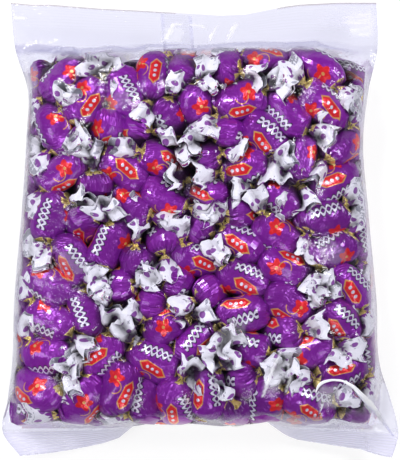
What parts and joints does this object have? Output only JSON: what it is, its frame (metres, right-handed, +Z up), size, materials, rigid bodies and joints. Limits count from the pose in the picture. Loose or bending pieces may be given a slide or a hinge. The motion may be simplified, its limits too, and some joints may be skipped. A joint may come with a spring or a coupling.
{
  "type": "bag of wrapped hard candy",
  "caption": "Clear heat-sealed bag packed full of twist-wrapped sweets, lying flat on its back, with a flat header and a ribbed foot seal.",
  "frame": {"origin": "middle of the bag's outline in plan, on the surface that it lies on", "axes": "+Z up out of the shown side, +Y along the bag's length to its flat header, +X to the right as seen from above"},
  "size_m": [0.2221, 0.2544, 0.0554],
  "materials": {
    "film": "clear glossy packing film, faintly lavender, with a crimped header and a ribbed foot seal",
    "wrapper": "glossy purple twist wrappers with gold foil at the necks, and white fans with purple dots that are silver inside"
  },
  "bodies": {
    "root": {"sweet_bag": "film"}
  },
  "joints": []
}
